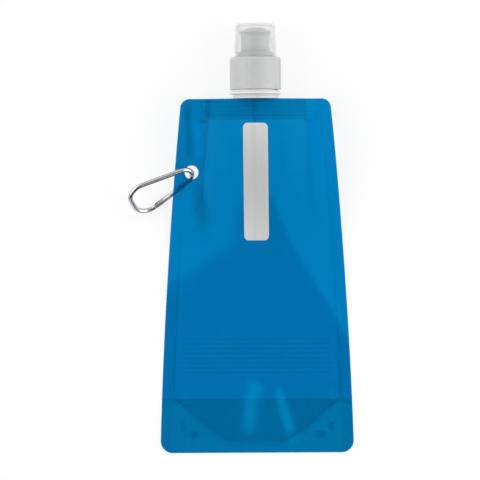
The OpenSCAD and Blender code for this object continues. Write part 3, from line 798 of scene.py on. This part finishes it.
for a in (30, 150, 270):
    web = bmesh.ops.create_cube(bm, size=1)["verts"]
    bmesh.ops.scale(bm, vec=PIN_WEB, verts=web)
    bmesh.ops.translate(bm, vec=(PIN_WEB[0] / 2, PIN_WEB_Y, 0), verts=web)
    bmesh.ops.transform(
        bm, matrix=Matrix.Translation(AXIS) @ Matrix.Rotation(math.radians(a), 4, "Y"), verts=web
    )
cap = finish_piece(bm, "cap_moulding", cap_white, 38)
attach(cap, "cap")
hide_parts("screw_cap")


# Pull nozzle. A softer white moulding that snaps over the cap's tube. It has a lip to pull it by, and a
# domed top with a hole that the cap's pin closes.
nozzle_white = plastic("white nozzle plastic", (0.535, 0.54, 0.54, 1), (0.515, 0.52, 0.52, 1), 0.3)
bm = bmesh.new()
turn(bm, [(r, CAP_TOP + y) for r, y in (
    (7, 0.4), (8.8, 0.4), (8.8, 11.6), (8.85, 12.6), (9, 13.5), (9.3, 14.2), (9.65, 14.75), (9.85, 15.15),
    (9.85, 15.65), (9.7, 15.95), (9.4, 16.15), (8.7, 16.3), (7.7, 16.5), (7, 16.75), (6.3, 17.1),
    (5.4, 17.5), (4.4, 17.8), (3.0, 18), (2.55, 17.9), (2.3, 17.5), (2.3, 13.6), (6.5, 13.6), (7.5, 12.6),
    (7.5, 2.2), (7, 1.6),
)])
round_edges(bm, 0.2, 60)
nozzle = finish_piece(bm, "nozzle_moulding", nozzle_white)
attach(nozzle, "nozzle")
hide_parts("pull_nozzle")


# Dust cover. A thin, slightly tapered cup of clear polystyrene. It is moulded in one piece and snaps over
# the cap's seat.
COVER_LOW = 243.65
s = Shader("clear cover plastic")
place = s.node("ShaderNodeTexCoord", None, None, "Object")
swirl = s.noise(place, 260, 3.0)
edge_on = s.node("ShaderNodeLayerWeight", None, {"Blend": 0.22}, "Facing")
gloss = s.node(
    "ShaderNodeBsdfPrincipled",
    None,
    {
        "Base Color": s.mix(swirl, (0.72, 0.73, 0.73, 1), (0.80, 0.81, 0.81, 1)),
        "Roughness": 0.08 + swirl * 0.08,
        "Normal": s.bump(swirl, 0.00004, 0.4),
    },
)
clear = s.node("ShaderNodeBsdfTransparent", None, {"Color": (0.965, 0.97, 0.97, 1)})
share = s.step(edge_on, 0.0, 1.0, 0.06, 0.75)
cover_clear = s.surface(s.node("ShaderNodeMixShader", None, {0: share, 1: clear, 2: gloss}))
bm = bmesh.new()
turn(bm, [(r, COVER_LOW + y) for r, y in (
    (12.15, 0), (12.95, 0), (12.95, 1.2), (12.4, 19), (12.3, 19.6), (12, 20.1), (11.45, 20.4), (10.9, 20.5),
    (0, 20.5), (0, 19.5), (10.7, 19.5), (11.25, 19.2), (11.5, 18.7), (12.15, 3.5),
)])
round_edges(bm, 0.2, 60)
cover = finish_piece(bm, "cover_moulding", cover_clear)
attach(cover, "cover")
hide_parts("dust_cover")


# Snap hook. A 3 mm aluminium rod, bent, ground and tumbled bright, with a flat tang for the hinge at one end
# and a notched tongue at the other. It is drawn flat in its own plane and then hung through the hole.
ROD_R, SMALL_R, BIG_R, HOOK_L = 1.5, 6.0, 8.8, 41.0
LEG_ANGLE, HOOK_TURN, HOOK_LIFT, HOOK_TILT = (math.radians(a) for a in (12.5, 208.2, 4, 38))
leg_cos, leg_sin = math.cos(LEG_ANGLE), math.sin(LEG_ANGLE)
LEG_U, LEG_V = SMALL_R * (1 - leg_sin), SMALL_R * leg_cos
CORNER_U = HOOK_L - BIG_R
CORNER_V = LEG_V + ((CORNER_U - LEG_U) * leg_sin - BIG_R) / leg_cos
LEG_L = (CORNER_U - BIG_R * leg_sin - LEG_U) / leg_cos
HINGE_S, NOSE_S, LATCH_S = 5.0, LEG_L - 0.5, LEG_L - 2
TANG_S, TANG_L, TANG_W, TANG_T, EYE_R, SHANK_L = 3.2, 4, 2.8, 1.2, 1.4, 2.2
LEG = Matrix.Translation((LEG_U, LEG_V, 0)) @ Matrix.Rotation(LEG_ANGLE, 4, "Z")
film_slope = math.atan(middle(HOLE.y + 0.5) - middle(HOLE.y - 0.5))
HUNG = (
    Matrix.Translation((HOLE.x, HOLE.y, middle(HOLE.y)))
    @ Matrix.Rotation(film_slope, 4, "X")
    @ Matrix.Rotation(HOOK_TURN, 4, "Z")
    @ Matrix.Rotation(-HOOK_LIFT, 4, "Y")
    @ Matrix.Rotation(-HOOK_TILT, 4, "X")
)


def run(bm, ring, way):
    """Draws a ring of edges out along a straight, and gives the new ring."""
    made = bmesh.ops.extrude_edge_only(bm, edges=ring)["geom"]
    verts = {v for v in made if isinstance(v, bmesh.types.BMVert)}
    bmesh.ops.translate(bm, vec=way, verts=list(verts))
    return [e for e in made if isinstance(e, bmesh.types.BMEdge) and set(e.verts) <= verts]


def bend(bm, ring, centre, angle):
    """Draws a ring of edges round a bend in the hook's plane, and gives the new ring."""
    made = bmesh.ops.spin(
        bm, geom=ring, cent=(*centre, 0), axis=(0, 0, 1), angle=angle, steps=40
    )["geom_last"]
    return [e for e in made if isinstance(e, bmesh.types.BMEdge)]


def metal(name, colour, shade, rough):
    """Bright tumbled metal with fine scratches."""
    s = Shader(name)
    place = s.node("ShaderNodeTexCoord", None, None, "Object")
    wear = s.noise(place, 700, 3.0)
    scratch = s.noise(s.stretched(place, (2600, 700, 2600)), 1.0, 2.0)
    body = s.node(
        "ShaderNodeBsdfPrincipled",
        None,
        {
            "Base Color": s.mix(s.step(wear, 0.35, 0.7), colour, shade),
            "Metallic": 1.0,
            "Roughness": rough + (wear - 0.4) * 0.12 + scratch * 0.05,
            "Normal": s.bump(scratch + wear * 0.5, 0.00001, 0.3),
        },
    )
    return s.surface(body)


bright = metal("bright aluminium", (0.60, 0.60, 0.60, 1), (0.52, 0.52, 0.53, 1), 0.17)
bm = bmesh.new()
ring = bmesh.ops.create_circle(bm, cap_ends=False, segments=32, radius=ROD_R)["verts"]
across = Matrix.Rotation(math.radians(90), 4, "Y")
bmesh.ops.transform(bm, matrix=LEG @ Matrix.Translation((NOSE_S, 0, 0)) @ across, verts=ring)
ring = list({e for v in ring for e in v.link_edges})
leg_way, spine_way = Vector((leg_cos, leg_sin, 0)), Vector((-leg_cos, leg_sin, 0))
quarter = math.radians(90) + LEG_ANGLE
ring = run(bm, ring, leg_way * (LEG_L - NOSE_S))
ring = bend(bm, ring, (CORNER_U, CORNER_V), -quarter)
ring = run(bm, ring, (0, -2 * CORNER_V, 0))
ring = bend(bm, ring, (CORNER_U, -CORNER_V), -quarter)
ring = run(bm, ring, spine_way * LEG_L)
ring = bend(bm, ring, (SMALL_R, 0), 2 * LEG_ANGLE - math.pi)
run(bm, ring, leg_way * SHANK_L)
bmesh.ops.holes_fill(bm, edges=[e for e in bm.edges if e.is_boundary], sides=0)
round_edges(bm, 0.3)
tang = bmesh.ops.create_cube(bm, size=1)["verts"]
bmesh.ops.scale(bm, vec=(TANG_L, TANG_W, TANG_T), verts=tang)
bmesh.ops.transform(bm, matrix=LEG @ Matrix.Translation((TANG_S, 0, 0)), verts=tang)
eye = bmesh.ops.create_cone(
    bm, cap_ends=True, segments=32, radius1=EYE_R, radius2=EYE_R, depth=TANG_T
)["verts"]
bmesh.ops.transform(bm, matrix=LEG @ Matrix.Translation((HINGE_S, 0, 0)), verts=eye)
# Bars of the notched tongue: length, width, and place along the leg and out from it.
TONGUE_BARS = ((1.15, 2.6, -1.425, 0.1), (0.75, 2.6, 1.225, 0.1), (3.5, 0.55, -0.25, 1.125))
for long, wide, ahead, out in TONGUE_BARS:
    tongue = bmesh.ops.create_cube(bm, size=1)["verts"]
    bmesh.ops.scale(bm, vec=(long, wide, 1), verts=tongue)
    bmesh.ops.transform(bm, matrix=LEG @ Matrix.Translation((LATCH_S + ahead, out, 0)), verts=tongue)
bmesh.ops.transform(bm, matrix=HUNG, verts=bm.verts)
hook = finish_piece(bm, "hook_rod", bright)
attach(hook, "hook")
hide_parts("hook_body")


# Gate. A bar of the same aluminium, forked for the hinge and slotted for the tongue, and pinned to the hook.
# It is the CAD's own shape, with its loose triangles merged.
bm = bmesh.new()
bm.from_mesh(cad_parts["hook_gate"].data)
bmesh.ops.scale(bm, vec=(1000, 1000, 1000), verts=bm.verts)
bmesh.ops.remove_doubles(bm, verts=bm.verts, dist=1e-3)
gate = finish_piece(bm, "gate_bar", bright, 35)
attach(gate, "gate")
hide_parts("hook_gate")


# Pins, plunger and spring. Two drawn steel pins, a turned plunger and a coiled wire spring inside the gate.
# They are small and mostly hidden, and stay as the CAD has them.
steel = metal("steel", (0.56, 0.57, 0.58, 1), (0.47, 0.48, 0.49, 1), 0.22)
for name in ("gate_pin", "latch_pin", "gate_plunger", "gate_spring"):
    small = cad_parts[name]
    small.data.materials.clear()
    small.data.materials.append(steel)


# Table and light. A white table, a low soft box on each side and one behind, and a dim room that is darkest
# on the near side.
TABLE_GLOW = 0.81
s = Shader("white table")
place = s.node("ShaderNodeTexCoord", None, None, "Object")
tooth = s.noise(place, 60, 3.0)
board = s.node(
    "ShaderNodeBsdfPrincipled",
    None,
    {
        "Base Color": s.mix(tooth, (0.90, 0.90, 0.90, 1), (0.92, 0.92, 0.92, 1)),
        "Roughness": 0.75,
        "Specular IOR Level": 0.1,
    },
)
glow = s.node("ShaderNodeEmission", None, {"Color": (1, 1, 1, 1), "Strength": 1.0})
rays = ("Is Camera Ray", "Is Glossy Ray", "Is Transmission Ray")
seen = sum(s.node("ShaderNodeLightPath", None, None, ray) for ray in rays)
table_white = s.surface(s.node("ShaderNodeMixShader", None, {0: seen * TABLE_GLOW, 1: board, 2: glow}))
bm = bmesh.new()
bmesh.ops.create_grid(bm, x_segments=1, y_segments=1, size=4000)
bmesh.ops.translate(bm, vec=(0, 0, -0.05), verts=bm.verts)
table = finish_piece(bm, "table", table_white)

for name, place, size, power in (
    ("left soft box", (-0.95, 0.2, 0.62), (2.2, 1.2), 13.5),
    ("right soft box", (0.95, 0.15, 0.58), (2.2, 1.2), 15.5),
    ("far soft box", (-0.1, 1.1, 0.75), (1.9, 0.9), 4.5),
):
    lamp = bpy.data.lights.new(name, "AREA")
    lamp.shape, lamp.size, lamp.size_y, lamp.energy = "RECTANGLE", *size, power
    box = bpy.data.objects.new(name, lamp)
    box.location = place
    box.rotation_euler = (Vector((0, 0.13, 0)) - box.location).to_track_quat("-Z", "Y").to_euler()
    bpy.context.scene.collection.objects.link(box)

room = Shader("room", bpy.data.worlds)
way = room.node("ShaderNodeTexCoord", None, None, "Generated")
far = room.node("ShaderNodeSeparateXYZ", None, {"Vector": way}, "Y")
dim = room.node("ShaderNodeBackground", None, {"Strength": room.step(far, -0.9, -0.1, 0.03, 0.4)})
bpy.context.scene.world = room.surface(dim, "ShaderNodeOutputWorld")


# Camera. It looks straight down on the bottle from far away through a long lens.
lens = bpy.data.cameras.new("camera")
lens.lens, lens.sensor_width = 364.5, 36
camera = bpy.data.objects.new("camera", lens)
camera.location = (-0.0100, 0.1313, 3.0)
camera.rotation_euler = (0, 0, math.radians(-0.3))
bpy.context.scene.collection.objects.link(camera)
bpy.context.scene.camera = camera
bpy.context.scene.view_settings.view_transform = "Standard"
